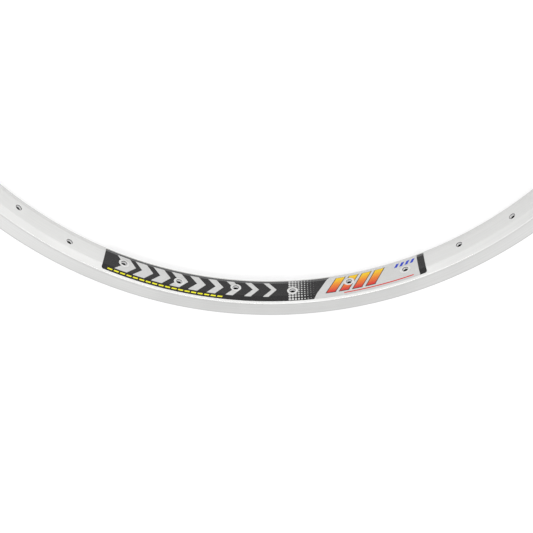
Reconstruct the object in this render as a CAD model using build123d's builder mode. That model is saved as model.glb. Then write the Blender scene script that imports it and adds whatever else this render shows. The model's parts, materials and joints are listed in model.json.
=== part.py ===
from build123d import *
from math import atan2, cos, degrees, radians, sin, tan
import os

# A double-wall aluminium bicycle rim for rim brakes. One extrusion is rolled into a hoop, its two ends
# are butted over a sleeve inside the chamber, and a printed film decal lies on the hub side.
# The axle line is Z, the mid-plane is z = 0 and the hoop lies flat.
# Lengths are in millimetres, and angles in degrees counted from +X.

# Tyre side of the section
bead_seat_dia = 559.0
inner_width = 24.0  # between the hooks of the two flanges
flange_height = 6.0  # bead seat to flange tip
hook_depth = 1.0  # how far a hook stands in from its side wall
hook_height = 2.6  # flange tip down to the hook's undercut
tip_chamfer = 1.0
seat_width = 3.2  # bead seat, in from the side wall
well_depth = 3.0  # bead seat down to the floor of the well
well_width = 13.0

# Walls and the chamber between them
side_wall = 2.0
tyre_bed_wall = 1.3
spoke_bed_wall = 1.9
chamber_height = 2.8  # at the mid-plane

# Hub side of the section
bed_width = 15.7  # flat of the spoke bed
bevel_rise = 2.5  # spoke bed up to the knuckle, radially

# Drilling
spoke_count = 36
spoke_hole_dia = 4.5
access_hole_dia = 9.0  # in the tyre bed, for the nipple's head
spoke_stagger = 1.5  # spoke holes lie this far either side of the mid-plane
valve_hole_dia = 8.5
valve_angle = 0.0  # the valve hole lies midway between two spoke holes

# Joint opposite the valve hole
butt_gap = 0.1  # hairline between the butted ends
sleeve_clearance = 0.05
sleeve_end_gap = 1.0  # sleeve's end to the nearest access hole

# Decal
decal_hole_count = 6  # spoke holes that the film covers
decal_end_margin = 17.0  # from the last of them to the film's end, along the spoke bed
decal_bevel_cover = 4.9  # how far the film reaches down each bevel
decal_corner_radius = 2.0
decal_thickness = 0.1
adhesive_thickness = 0.05  # between the metal and the film
decal_punch_dia = 9.0  # hole in the film round each spoke hole

# Radii of the section's levels
seat_r = bead_seat_dia / 2
tip_r = seat_r + flange_height
well_r = seat_r - well_depth
ceiling_r = well_r - tyre_bed_wall
floor_r = ceiling_r - chamber_height
bed_r = floor_r - spoke_bed_wall
knuckle_r = bed_r + bevel_rise

# Half widths of the section's levels
hook_z = inner_width / 2
wall_z = hook_z + hook_depth
side_z = wall_z + side_wall
seat_z = wall_z - seat_width
well_z = well_width / 2
bed_z = bed_width / 2

# Slopes of the bevels and of the well's flanks
bevel_slope = atan2(bevel_rise, side_z - bed_z)
flank_slope = atan2(well_depth, seat_z - well_z)

# Angles round the hoop
spoke_pitch = 360 / spoke_count
joint_angle = valve_angle + spoke_pitch * (spoke_count // 2)
decal_angle = valve_angle - spoke_pitch * (spoke_count // 4)


def section_plane(angle):
    """The plane through the axle line at an angle, with radius along its X and width along its Y."""
    turn = radians(angle)
    return Plane((0, 0, 0), x_dir=(cos(turn), sin(turn), 0), z_dir=(sin(turn), -cos(turn), 0))


def drill_plane(angle, z):
    """A plane level with the bead seat, facing outward along a hole's line."""
    out = Vector(cos(radians(angle)), sin(radians(angle)), 0)
    return Plane(out * seat_r + Vector(0, 0, z), x_dir=(0, 0, 1), z_dir=out)


def wall_corner_shift(wall, slope):
    """How far the inner corner of a bent wall lies beside the outer one."""
    return wall * tan(slope / 2)


def half_outside():
    """Half of the section's outside, from the middle of the spoke bed round to the middle of the well."""
    undercut_r = tip_r - hook_height
    return [
        (bed_r, 0),
        (bed_r, bed_z),
        (knuckle_r, side_z),
        (tip_r, side_z),
        (tip_r, hook_z),
        (undercut_r, hook_z),
        (undercut_r - hook_depth, wall_z),
        (seat_r, wall_z),
        (seat_r, seat_z),
        (well_r, well_z),
        (well_r, 0),
    ]


def half_chamber():
    """Half of the chamber, from the middle of its floor round to the middle of its ceiling."""
    floor_z = bed_z - wall_corner_shift(spoke_bed_wall, bevel_slope)
    shift = wall_corner_shift(tyre_bed_wall, flank_slope)
    return [
        (floor_r, 0),
        (floor_r, floor_z),
        (floor_r + (wall_z - floor_z) * tan(bevel_slope), wall_z),
        (seat_r - tyre_bed_wall, wall_z),
        (seat_r - tyre_bed_wall, seat_z + shift),
        (ceiling_r, well_z + shift),
        (ceiling_r, 0),
    ]


def half_film_face(height):
    """Half of a face of the film, at a height over the spoke bed and the bevel."""
    face_r = bed_r - height
    corner_z = bed_z + wall_corner_shift(height, bevel_slope)
    return [
        (face_r, 0),
        (face_r, corner_z),
        (face_r + (side_z - corner_z) * tan(bevel_slope), side_z),
    ]


spoke_holes = [
    drill_plane(
        valve_angle + (k + 0.5) * spoke_pitch,
        spoke_stagger if k % 2 else -spoke_stagger,
    )
    for k in range(spoke_count)
]
drill_depth = seat_r - bed_r + spoke_bed_wall  # past the spoke bed
access_depth = seat_r - (floor_r + ceiling_r) / 2  # into the chamber

# The hoop, open by a hairline where its ends meet
gap_angle = degrees(butt_gap / seat_r)
with BuildPart() as rim_hoop:
    with BuildSketch(section_plane(joint_angle + gap_angle / 2)) as section:
        with BuildLine():
            Polyline(*half_outside())
            mirror(about=Plane.XZ)
        make_face()
        chamfer(section.vertices().group_by(Axis.X)[-1], length=tip_chamfer)
        with BuildLine():
            Polyline(*half_chamber())
            mirror(about=Plane.XZ)
        make_face(mode=Mode.SUBTRACT)
    revolve(axis=Axis.Z, revolution_arc=360 - gap_angle)
    with Locations(*spoke_holes):
        CounterBoreHole(spoke_hole_dia / 2, access_hole_dia / 2, access_depth, drill_depth)
    with Locations(drill_plane(valve_angle, 0)):
        Hole(valve_hole_dia / 2, drill_depth)

# The sleeve fills the chamber between the two access holes nearest the joint
sleeve_angle = spoke_pitch - degrees((access_hole_dia + 2 * sleeve_end_gap) / ceiling_r)
with BuildPart() as joint_sleeve:
    with BuildSketch(section_plane(joint_angle - sleeve_angle / 2)):
        with BuildLine():
            Polyline(*half_chamber())
            mirror(about=Plane.XZ)
        make_face()
        offset(amount=-sleeve_clearance, kind=Kind.INTERSECTION, mode=Mode.REPLACE)
    revolve(axis=Axis.Z, revolution_arc=sleeve_angle)

# The film follows the spoke bed and both bevels, trimmed to a rounded outline seen along its middle
film_back = half_film_face(adhesive_thickness)
film_front = half_film_face(adhesive_thickness + decal_thickness)
decal_span = (decal_hole_count - 1) * spoke_pitch + 2 * degrees(decal_end_margin / bed_r)
decal_z = bed_z + decal_bevel_cover * cos(bevel_slope)
decal_chord = 2 * bed_r * sin(radians(decal_span / 2))
with BuildPart() as decal:
    with BuildSketch(section_plane(decal_angle - decal_span)):
        with BuildLine():
            Polyline(*film_front, *reversed(film_back))
            mirror(about=Plane.XZ)
        make_face()
    revolve(axis=Axis.Z, revolution_arc=2 * decal_span)
    with BuildSketch(section_plane(decal_angle + 90)):
        RectangleRounded(decal_chord, 2 * decal_z, decal_corner_radius)
    extrude(amount=tip_r, mode=Mode.INTERSECT)
    with Locations(*spoke_holes):
        Hole(decal_punch_dia / 2, drill_depth)

os.makedirs("parts", exist_ok=True)
rim_hoop.part.label = "rim_hoop"
export_step(rim_hoop.part, "parts/rim_hoop.step")
joint_sleeve.part.label = "joint_sleeve"
export_step(joint_sleeve.part, "parts/joint_sleeve.step")
decal.part.label = "decal"
export_step(decal.part, "parts/decal.step")
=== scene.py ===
"""Looks of a double-wall bicycle rim: a satin silver hoop, its joint sleeve and a printed film.

Every surface of the hoop and the film is worked out as whole arrays. A rounded section outline is carried
round the axle line, and a drilled hole is a patch that runs from a rectangle of that surface to a circle.
Lengths are in metres, and angles are in radians about the axle line, counted from +X. Inside the finishes,
lengths are in millimetres.
"""

import json
import logging
from dataclasses import asdict, dataclass, field
from enum import Enum, IntEnum
from math import atan2, cos, hypot, pi, radians, sin, tan
from typing import Mapping, Sequence, Union

import bpy
import numpy as np
from mathutils import Matrix, Vector
from mathutils.geometry import delaunay_2d_cdt


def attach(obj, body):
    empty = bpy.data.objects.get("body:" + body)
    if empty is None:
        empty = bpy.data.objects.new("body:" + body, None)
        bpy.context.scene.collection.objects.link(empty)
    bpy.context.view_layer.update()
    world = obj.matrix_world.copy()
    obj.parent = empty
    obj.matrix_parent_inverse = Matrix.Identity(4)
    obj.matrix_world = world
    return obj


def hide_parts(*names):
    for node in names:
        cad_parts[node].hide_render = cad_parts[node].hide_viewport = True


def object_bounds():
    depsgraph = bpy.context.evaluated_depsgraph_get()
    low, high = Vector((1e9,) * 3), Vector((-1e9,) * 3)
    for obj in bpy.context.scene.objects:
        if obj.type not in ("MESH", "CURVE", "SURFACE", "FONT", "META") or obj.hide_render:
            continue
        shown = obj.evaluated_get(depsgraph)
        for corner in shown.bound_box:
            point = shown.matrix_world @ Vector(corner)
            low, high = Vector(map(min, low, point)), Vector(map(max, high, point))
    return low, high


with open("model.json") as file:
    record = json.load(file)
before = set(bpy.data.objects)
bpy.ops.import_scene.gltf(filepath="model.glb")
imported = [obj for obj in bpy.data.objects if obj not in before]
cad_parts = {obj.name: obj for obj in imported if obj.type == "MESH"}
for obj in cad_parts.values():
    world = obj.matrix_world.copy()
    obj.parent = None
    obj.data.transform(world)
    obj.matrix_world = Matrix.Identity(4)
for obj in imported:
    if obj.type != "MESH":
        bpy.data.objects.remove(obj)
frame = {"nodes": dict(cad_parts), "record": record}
cad_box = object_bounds()

log = logging.getLogger("bicycle_rim")

Array = np.ndarray
Range = tuple[float, float]
Triple = tuple[float, float, float]
Colour = tuple[float, float, float]
Socket = bpy.types.NodeSocket
Given = Union[Socket, float, tuple[float, ...]]  # what a node's input takes

MM = 0.001
TO_MM = 1000.0
WELD = 1e-6  # points closer than this are one point
INSIDE_ONLY = 1  # the kind of triangle net that fills a loop and no more
MIRROR = np.array([1.0, -1.0])  # turns radius and width over to the other side of the mid-plane
FIRST_CORNER = -3 * pi / 4  # direction of a patch's first corner from its hole's line
UP = (0.0, 0.0, 1.0)
MIX_INPUTS = (0, 6, 7)  # of a node that mixes colours: the share and the two colours
MIX_RESULT = 2
NOISE_RANGE = (0.3, 0.7)  # most values of a noise lie between these
ONLY_SLOT = 0  # slot of a piece that has one material
LEAN = 0.55  # how far the print leans along the film, for each mm across it
BODY = "root"


@dataclass(frozen=True)
class RimSizes:
    """Sizes of the rim's section and of its drilling."""

    seat_r: float
    bed_r: float
    half_width: float
    spoke_hole_r: float
    valve_hole_r: float
    stagger: float
    flange_height: float = 6.0 * MM
    hook_depth: float = 1.0 * MM
    hook_height: float = 2.6 * MM
    seat_width: float = 3.2 * MM
    well_depth: float = 3.0 * MM
    half_well: float = 6.5 * MM
    side_wall: float = 2.0 * MM
    tyre_bed_wall: float = 1.3 * MM
    spoke_bed_wall: float = 1.9 * MM
    half_bed: float = 7.85 * MM
    bevel_rise: float = 2.5 * MM
    access_hole_r: float = 4.5 * MM
    butt_gap: float = 0.1 * MM
    spoke_count: int = 36

    @classmethod
    def from_record(cls, record: dict) -> "RimSizes":
        """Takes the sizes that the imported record's mounts state.

        Args:
            record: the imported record.

        Returns:
            The rim's sizes, with the other sizes at their defaults.
        """
        mounts = {mount["name"]: mount for mount in record["mounts"]}
        spoke, valve = mounts["spoke_hole_1"], mounts["valve_hole"]
        x, y, z = spoke["pos_m"]
        return cls(
            seat_r=mounts["tyre_bead_seats"]["dims"]["r_mm"] * MM,
            bed_r=hypot(x, y) - spoke["dims"]["length_mm"] * MM / 2,
            half_width=mounts["brake_track_high"]["pos_m"][2],
            spoke_hole_r=spoke["dims"]["r_mm"] * MM,
            valve_hole_r=valve["dims"]["r_mm"] * MM,
            stagger=abs(z),
        )

    @property
    def tip_r(self) -> float:
        """Radius of the flange tips."""
        return self.seat_r + self.flange_height

    @property
    def well_r(self) -> float:
        """Radius of the well's floor."""
        return self.seat_r - self.well_depth

    @property
    def ceiling_r(self) -> float:
        """Radius of the chamber's ceiling."""
        return self.well_r - self.tyre_bed_wall

    @property
    def floor_r(self) -> float:
        """Radius of the chamber's floor."""
        return self.bed_r + self.spoke_bed_wall

    @property
    def knuckle_r(self) -> float:
        """Radius of the edge between a bevel and its brake track."""
        return self.bed_r + self.bevel_rise

    @property
    def wall_z(self) -> float:
        """Half width between the side walls."""
        return self.half_width - self.side_wall

    @property
    def hook_z(self) -> float:
        """Half width between the hooks."""
        return self.wall_z - self.hook_depth

    @property
    def seat_z(self) -> float:
        """Half width at the inner edges of the bead seats."""
        return self.wall_z - self.seat_width

    @property
    def bevel_slope(self) -> float:
        """Angle between the spoke bed and a bevel."""
        return atan2(self.bevel_rise, self.half_width - self.half_bed)

    @property
    def flank_slope(self) -> float:
        """Angle between the well's floor and its flanks."""
        return atan2(self.well_depth, self.seat_z - self.half_well)

    @property
    def pitch(self) -> float:
        """Angle from one spoke hole to the next."""
        return 2 * pi / self.spoke_count


class Facing(IntEnum):
    """Which way a face of the hoop looks, as the sign of its normal along the radius."""

    OUTWARD = 1
    HUBWARD = -1

    @property
    def other(self) -> "Facing":
        """The opposite way."""
        return Facing(-self)


@dataclass(frozen=True)
class Corner:
    """A corner of a section outline: where it lies, how far it is rounded and how many points draw it."""

    radius: float
    width: float
    rounding: float
    points: int


@dataclass(frozen=True)
class Outline:
    """A section outline, as radius and width, with the outward normal at each point."""

    points: Array
    normals: Array

    def mirrored(self) -> "Outline":
        """The same outline on the other side of the mid-plane, run through the other way."""
        return Outline((self.points * MIRROR)[::-1], (self.normals * MIRROR)[::-1])

    def joined(self, *others: "Outline") -> "Outline":
        """This outline with others added at its end."""
        chain = (self, *others)
        return Outline(np.vstack([o.points for o in chain]), np.vstack([o.normals for o in chain]))

    def closed(self) -> "Outline":
        """This outline with its first point again at its end."""
        return self.joined(Outline(self.points[:1], self.normals[:1]))

    def round_axle(self, angles: Array) -> tuple[Array, Array]:
        """The points and the normals, both set round the axle line at some angles."""
        return set_round(self.points, angles), set_round(self.normals, angles)


def set_round(values: Array, angles: Array) -> Array:
    """Sets a section round the axle line: radius r and width z at an angle a give (r cos a, r sin a, z).

    Args:
        values: radius and width of each point of the section, of shape (points, 2).
        angles: the angles, of shape (columns, 1), or (columns, points) where each point has its own.

    Returns:
        Coordinates, of shape (columns, points, 3).
    """
    radius, width = values.T
    across = np.broadcast_to(width, (len(angles), len(width)))
    return np.stack([np.cos(angles) * radius, np.sin(angles) * radius, across], axis=-1)


def straight_band(radius: float, widths: Array, facing: Facing) -> Outline:
    """Points across a band of one radius, with the normals along the radius."""
    points = np.column_stack([np.full_like(widths, radius), widths])
    return Outline(points, np.tile([float(facing), 0.0], (len(widths), 1)))


def rounded_chain(before: Array, corners: Sequence[Corner], after: Array) -> Outline:
    """Rounds the corners of a chain of straight runs that has the material on its left.

    At a corner that turns by t, an arc of radius R starts R tan(t / 2) before the corner. Its heading turns
    evenly through t, and its points lie R beside its centre. The normal is a quarter turn to the right of
    the heading.

    Args:
        before: the point that the chain comes from.
        corners: the corners in order.
        after: the point that the chain goes on to.

    Returns:
        The arcs' points and normals.
    """
    at = np.array([(c.radius, c.width) for c in corners])
    rounding = np.array([c.rounding for c in corners])
    count = np.array([c.points for c in corners])
    run = np.diff(np.vstack([before, at, after]), axis=0)
    heading = np.arctan2(run[:, 1], run[:, 0])
    turn = (np.diff(heading) + pi) % (2 * pi) - pi
    along = run[:-1] / np.linalg.norm(run[:-1], axis=1, keepdims=True)
    start = at - (rounding * np.tan(np.abs(turn) / 2))[:, None] * along
    side = (np.sign(turn) * rounding)[:, None]

    def left(angle: Array) -> Array:
        """The direction a quarter turn to the left of a heading."""
        return np.stack([-np.sin(angle), np.cos(angle)], axis=-1)

    centre = start + side * left(heading[:-1])
    which = np.repeat(np.arange(len(at)), count)
    number = np.arange(len(which)) - np.repeat(np.cumsum(count) - count, count)
    share = number / np.maximum(count[which] - 1, 1)
    angle = heading[which] + turn[which] * share
    return Outline(centre[which] - side[which] * left(angle), -left(angle))


@dataclass(frozen=True)
class Ring:
    """Closed rings of points, one for each hole, with a normal at each point."""

    points: Array
    normals: Array


def grid_corners(values: Array) -> Array:
    """The four corners of each cell of a grid, in the order that faces along columns then rows."""
    return np.stack([values[:-1, :-1], values[1:, :-1], values[1:, 1:], values[:-1, 1:]], axis=2)


@dataclass
class Skin:
    """Faces of one piece, gathered as arrays of corner points, corner normals and finishes."""

    name: str
    points: list[Array] = field(default_factory=list)
    normals: list[Array] = field(default_factory=list)
    finishes: list[Array] = field(default_factory=list)

    def add(
        self, points: Array, normals: Array, finish: int | Array, facing: Facing = Facing.OUTWARD
    ) -> None:
        """Adds faces.

        Args:
            points: corner points, of shape (..., corners, 3).
            normals: a normal for each corner, of the same shape.
            finish: the material slot, one number or one for each face.
            facing: HUBWARD to run each face's corners the other way.
        """
        corners = points.shape[-2]
        self.points.append(points.reshape(-1, corners, 3)[:, ::facing])
        self.normals.append(normals.reshape(-1, corners, 3)[:, ::facing])
        self.finishes.append(np.broadcast_to(finish, points.shape[:-2]).ravel())

    def add_grid(
        self,
        points: Array,
        normals: Array,
        finish: int | Array,
        keep: Array | None = None,
        facing: Facing = Facing.OUTWARD,
    ) -> None:
        """Adds the four-sided cells of a grid of points.

        Args:
            points: the grid, of shape (columns, rows, 3).
            normals: a normal for each point.
            finish: the material slot, one number or one for each cell.
            keep: which cells are added, or None for all.
            facing: HUBWARD to turn the cells over.
        """
        cells = np.ones((points.shape[0] - 1, points.shape[1] - 1), bool) if keep is None else keep
        slots = np.broadcast_to(finish, cells.shape)[cells]
        self.add(grid_corners(points)[cells], grid_corners(normals)[cells], slots, facing)

    def add_strip(self, outer: Ring, inner: Ring, finish: int, facing: Facing) -> None:
        """Adds the four-sided faces between closed rings that have as many points each.

        Args:
            outer: the rings on one side of the faces.
            inner: the rings on the other side.
            finish: the material slot.
            facing: HUBWARD to turn the faces over.
        """

        def cells(first: Array, second: Array) -> Array:
            """Corners of the faces between two sets of rings."""
            return np.stack([first, np.roll(first, -1, 1), np.roll(second, -1, 1), second], axis=2)

        self.add(cells(outer.points, inner.points), cells(outer.normals, inner.normals), finish, facing)

    def add_fan(self, outer: Ring, inner: Ring, finish: int, facing: Facing) -> None:
        """Adds the triangles between closed rings, where the inner one has twice as many points.

        Args:
            outer: the rings with fewer points.
            inner: the rings with more.
            finish: the material slot.
            facing: HUBWARD to turn the triangles over.
        """

        def triangles(first: Array, second: Array) -> Array:
            """Three triangles for each side of the outer ring.

            Args:
                first: values at the outer rings' points.
                second: values at the inner rings' points.

            Returns:
                Values at the corners, of shape (rings, sides, 3, 3, 3).
            """
            onward = np.roll(first, -1, 1)
            even, odd = second[:, 0::2], second[:, 1::2]
            later = np.roll(even, -1, 1)
            sides = [(first, onward, odd), (first, odd, even), (onward, later, odd)]
            return np.stack([np.stack(side, axis=2) for side in sides], axis=2)

        points = triangles(outer.points, inner.points)
        self.add(points, triangles(outer.normals, inner.normals), finish, facing)

    def make(self, materials: Sequence[bpy.types.Material]) -> bpy.types.Object:
        """Welds the faces into a mesh object at the origin.

        Args:
            materials: the piece's materials, in the order of its finishes.

        Returns:
            The object, linked to the scene.
        """
        corners = np.concatenate([p.reshape(-1, 3) for p in self.points])
        normals = np.concatenate([n.reshape(-1, 3) for n in self.normals])
        sides = np.concatenate([np.full(p.shape[0], p.shape[1]) for p in self.points])
        keys = np.round(corners / WELD).astype(np.int64)
        _, first, index = np.unique(keys, axis=0, return_index=True, return_inverse=True)
        mesh = bpy.data.meshes.new(self.name)
        mesh.vertices.add(len(first))
        mesh.vertices.foreach_set("co", corners[first].astype(np.float32).ravel())
        mesh.loops.add(len(corners))
        mesh.loops.foreach_set("vertex_index", index.astype(np.int32).ravel())
        mesh.polygons.add(len(sides))
        mesh.polygons.foreach_set("loop_start", (np.cumsum(sides) - sides).astype(np.int32))
        mesh.polygons.foreach_set("material_index", np.concatenate(self.finishes).astype(np.int32))
        mesh.polygons.foreach_set("use_smooth", np.ones(len(sides), bool))
        mesh.update(calc_edges=True)
        mesh.normals_split_custom_set(normals.tolist())
        for material in materials:
            mesh.materials.append(material)
        piece = bpy.data.objects.new(self.name, mesh)
        bpy.context.scene.collection.objects.link(piece)
        return piece


@dataclass(frozen=True)
class Holes:
    """Holes of one size, drilled along lines through the axle line."""

    angles: Array
    widths: Array
    radius: float

    def lines(self) -> tuple[Array, Array]:
        """The directions that circles about the holes' lines are laid out by.

        Returns:
            Each hole's outward direction and the direction round the hoop, of shape (holes, 1, 3).
        """
        zero = np.zeros_like(self.angles)
        out = np.stack([np.cos(self.angles), np.sin(self.angles), zero], axis=-1)
        around = np.stack([-np.sin(self.angles), np.cos(self.angles), zero], axis=-1)
        return out[:, None], around[:, None]


@dataclass(frozen=True)
class HoleGrid:
    """How a hole's patch sits in the cells round it: a square of cells, whose sides lead to a circle."""

    step: float  # angle of a column of cells
    row: float  # width of a row of cells
    half: int  # cells from the patch's middle to its side

    @property
    def lines(self) -> Array:
        """Widths of the lines between the rows of a band that is drilled."""
        return np.arange(-self.half, self.half + 1) * self.row

    def patch_cells(self, holes: Holes, start: float, first_row: int) -> tuple[Array, Array]:
        """Finds the cells that the holes' patches take up.

        Args:
            holes: the holes.
            start: angle of the surface's first column, where all its columns are alike.
            first_row: first row of cells of the drilled band.

        Returns:
            Column numbers and row numbers, which together pick the cells out of a grid of cells.
        """
        middles = np.round((holes.angles - start) / self.step).astype(int)
        columns = (middles[:, None] + np.arange(-self.half, self.half)).reshape(-1, 1)
        return columns, first_row + np.arange(2 * self.half)

    def rectangle(self, holes: Holes, radius: float, facing: Facing) -> Ring:
        """The cells' corners round each patch, anticlockwise seen from outside the hoop.

        The corners run along the patch's four sides, a whole number of columns and rows from its middle.

        Args:
            holes: the holes.
            radius: radius of the band that the patches lie on.
            facing: which way the band looks.

        Returns:
            The corners, with the band's normals.
        """
        rise = np.arange(-self.half, self.half)
        side = np.full(2 * self.half, self.half)
        column = np.concatenate([rise, side, -rise, -side]) * self.step
        row = np.concatenate([-side, rise, side, -rise]) * self.row
        angle = holes.angles[:, None] + column
        out = np.stack([np.cos(angle), np.sin(angle), np.zeros_like(angle)], axis=-1)
        points = radius * out
        points[..., 2] = row
        return Ring(points, out * facing)

    def circle(
        self,
        holes: Holes,
        radius: float,
        facing: Facing,
        wider: float = 0.0,
        depth: float = 0.0,
        lean: float = 0.0,
    ) -> Ring:
        """Circles about the holes' lines, on a band of one radius or below it.

        At a distance x beside its line, a band of radius R lies sqrt(R^2 - x^2) from the axle line. A normal
        leans from the band's own normal to the direction towards the hole's line.

        Args:
            holes: the holes.
            radius: the band's radius.
            facing: which way the band looks.
            wider: how much wider than the hole's radius the circle is.
            depth: how far below the band it lies.
            lean: angle of the normals from the band's normal.

        Returns:
            The circles, with twice as many points as a rectangle.
        """
        out, around = holes.lines()
        patch_points = 4 * 2 * self.half
        count = 2 * patch_points
        turn = FIRST_CORNER + np.arange(count) * 2 * pi / count
        x = ((holes.radius + wider) * np.cos(turn))[None, :, None]
        z = holes.widths[:, None] + (holes.radius + wider) * np.sin(turn)
        on_band = np.sqrt(radius**2 - x**2) * out + x * around
        inward = -(np.cos(turn)[:, None] * around + np.sin(turn)[:, None] * np.array(UP))
        normals = cos(lean) * facing * on_band / radius + sin(lean) * inward
        return Ring(on_band - facing * depth * out + z[..., None] * np.array(UP), normals)


class HoopSlot(IntEnum):
    """Material slots of the hoop."""

    SATIN = 0
    TRACK = 1
    BORE = 2
    # near black: painted shade inside the chamber
    CHAMBER = 3
    # near black: painted shade on the spoke holes' rounded edges and the access holes' walls
    EDGE = 4
    PLAIN = 5
    # lighter than the satin: a painted highlight along the knuckle
    KNUCKLE = 6


@dataclass
class RolledHoop:
    """The hollow hoop: its outer skin, its chamber, its drilled holes and the two butted ends."""

    sizes: RimSizes
    joint: float = pi  # angle of the butted ends
    valve: float = 2 * pi  # angle of the valve hole
    cells_per_pitch: int = 16
    patch_half: int = 3  # cells from a hole's line to the side of its patch
    drilled_half_width: float = 6.36 * MM
    bed_rounding: float = 1.5 * MM
    knuckle_rounding: float = 0.7 * MM
    tip_rounding: float = 1.2 * MM
    inner_rounding: float = 0.3 * MM
    chamber_rounding: float = 0.05 * MM
    wide_points: int = 5  # that draw a wide rounding
    knuckle_points: int = 4
    seat_points: int = 3  # at the bead seats' inner edges and the well
    small_points: int = 2
    groove_start: float = 0.56 * MM  # from the knuckle
    groove_width: float = 0.42 * MM
    groove_depth: float = 0.18 * MM
    groove_rounding: float = 0.03 * MM
    hub_edge: float = 0.35 * MM  # rounding of the holes' edges in the spoke bed
    tyre_edge: float = 0.25 * MM  # and in the tyre bed
    edge_steps: int = 4

    @property
    def grid(self) -> HoleGrid:
        """The cells that the holes' patches sit in."""
        step = self.sizes.pitch / self.cells_per_pitch
        return HoleGrid(step, self.drilled_half_width / self.patch_half, self.patch_half)

    def angles(self) -> Array:
        """Angles of the columns, from one butted end round to the other, which stop short by the gap.

        Returns:
            The angles, of shape (columns, 1).
        """
        columns = self.sizes.spoke_count * self.cells_per_pitch
        angles = self.joint + np.arange(columns + 1) * self.grid.step
        half_gap = self.sizes.butt_gap / self.sizes.seat_r / 2
        angles[[0, -1]] += (half_gap, -half_gap)
        return angles[:, None]

    def outer_outline(self) -> Outline:
        """The section's outside, from the spoke bed round one flange, the well and the other flange.

        Returns:
            The closed outline, whose two drilled bands start at its first point and at its middle.
        """
        s = self.sizes
        undercut_r = s.tip_r - s.hook_height
        groove_in = s.knuckle_r + self.groove_start
        groove_out = groove_in + self.groove_width
        groove_z = s.half_width - self.groove_depth
        corners = [
            Corner(s.bed_r, -s.half_bed, self.bed_rounding, self.wide_points),
            Corner(s.knuckle_r, -s.half_width, self.knuckle_rounding, self.knuckle_points),
            Corner(groove_in, -s.half_width, self.groove_rounding, self.small_points),
            Corner(groove_in, -groove_z, self.groove_rounding, self.small_points),
            Corner(groove_out, -groove_z, self.groove_rounding, self.small_points),
            Corner(groove_out, -s.half_width, self.groove_rounding, self.small_points),
            Corner(s.tip_r, -s.half_width, self.tip_rounding, self.wide_points),
            Corner(s.tip_r, -s.hook_z, self.tip_rounding, self.wide_points),
            Corner(undercut_r, -s.hook_z, self.inner_rounding, self.small_points),
            Corner(undercut_r - s.hook_depth, -s.wall_z, self.inner_rounding, self.small_points),
            Corner(s.seat_r, -s.wall_z, self.inner_rounding, self.small_points),
            Corner(s.seat_r, -s.seat_z, self.inner_rounding, self.seat_points),
            Corner(s.well_r, -s.half_well, self.inner_rounding, self.seat_points),
        ]
        bed = straight_band(s.bed_r, self.grid.lines[::-1], Facing.HUBWARD)
        well = straight_band(s.well_r, self.grid.lines, Facing.OUTWARD)
        side = rounded_chain(bed.points[-1], corners, well.points[0])
        return bed.joined(side, well, side.mirrored()).closed()

    def chamber_outline(self) -> Outline:
        """The chamber's section, from its floor round one side wall, its ceiling and the other side wall.

        Returns:
            The closed outline, whose two drilled bands start at its first point and at its middle.
        """
        s = self.sizes
        floor_z = s.half_bed - s.spoke_bed_wall * tan(s.bevel_slope / 2)
        shift = s.tyre_bed_wall * tan(s.flank_slope / 2)
        under_seat_r = s.seat_r - s.tyre_bed_wall
        corners = [
            Corner(radius, width, self.chamber_rounding, self.small_points)
            for radius, width in (
                (s.floor_r, floor_z),
                (s.floor_r + (s.wall_z - floor_z) * tan(s.bevel_slope), s.wall_z),
                (under_seat_r, s.wall_z),
                (under_seat_r, s.seat_z + shift),
                (s.ceiling_r, s.half_well + shift),
            )
        ]
        floor = straight_band(s.floor_r, self.grid.lines, Facing.OUTWARD)
        ceiling = straight_band(s.ceiling_r, self.grid.lines[::-1], Facing.HUBWARD)
        side = rounded_chain(floor.points[-1], corners, ceiling.points[0])
        return floor.joined(side, ceiling, side.mirrored()).closed()

    def spoke_drilling(self, radius: float) -> Holes:
        """Holes on all the spoke lines, by turns below and above the mid-plane.

        Args:
            radius: the holes' radius.

        Returns:
            The holes, in the order of the columns.
        """
        number = np.arange(self.sizes.spoke_count)
        widths = np.where(number % 2, self.sizes.stagger, -self.sizes.stagger)
        return Holes(self.joint + (number + 0.5) * self.sizes.pitch, widths, radius)

    def valve_drilling(self) -> Holes:
        """The one valve hole."""
        return Holes(np.array([self.valve]), np.zeros(1), self.sizes.valve_hole_r)

    def drill(
        self, skin: Skin, holes: Holes, shown: float, hidden: float, edge: HoopSlot, wall: HoopSlot
    ) -> None:
        """Adds the walls of some holes through one wall of the hoop, and the patches round them.

        Args:
            skin: takes the faces.
            holes: the holes.
            shown: radius of the wall's face outside the chamber, where the hole's edge is rounded.
            hidden: radius of the wall's face in the chamber.
            edge: finish of the rounded edge.
            wall: finish of the holes' own walls.
        """
        in_tyre_bed = shown > hidden
        facing = Facing.OUTWARD if in_tyre_bed else Facing.HUBWARD
        # inside the chamber behind the tyre bed, near black: painted shade
        inside = HoopSlot.CHAMBER if in_tyre_bed else HoopSlot.PLAIN
        rounding = self.tyre_edge if in_tyre_bed else self.hub_edge
        grid = self.grid
        rings = [
            grid.circle(
                holes,
                shown,
                facing,
                wider=rounding * (1 - sin(turn)),
                depth=rounding * (1 - cos(turn)),
                lean=turn,
            )
            for turn in np.linspace(0.0, pi / 2, self.edge_steps)
        ]
        skin.add_fan(grid.rectangle(holes, shown, facing), rings[0], HoopSlot.SATIN, facing)
        for outer, inner in zip(rings[:-1], rings[1:]):
            skin.add_strip(outer, inner, edge, facing)
        far = grid.circle(holes, hidden, facing.other)
        skin.add_strip(rings[-1], Ring(far.points, rings[-1].normals), wall, facing)
        skin.add_fan(grid.rectangle(holes, hidden, facing.other), far, inside, facing.other)

    def section_triangles(self, outer: Outline, chamber: Outline) -> Array:
        """Fills the section's metal with triangles.

        Each half of the section is one loop, along the outside and back along the chamber. A net of
        triangles fills the lower half, and the upper half mirrors it.

        Args:
            outer: the section's outside.
            chamber: the chamber's section.

        Returns:
            Radius and width of the corners, of shape (triangles, 3, 2), with all triangles turned alike.
        """

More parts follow.
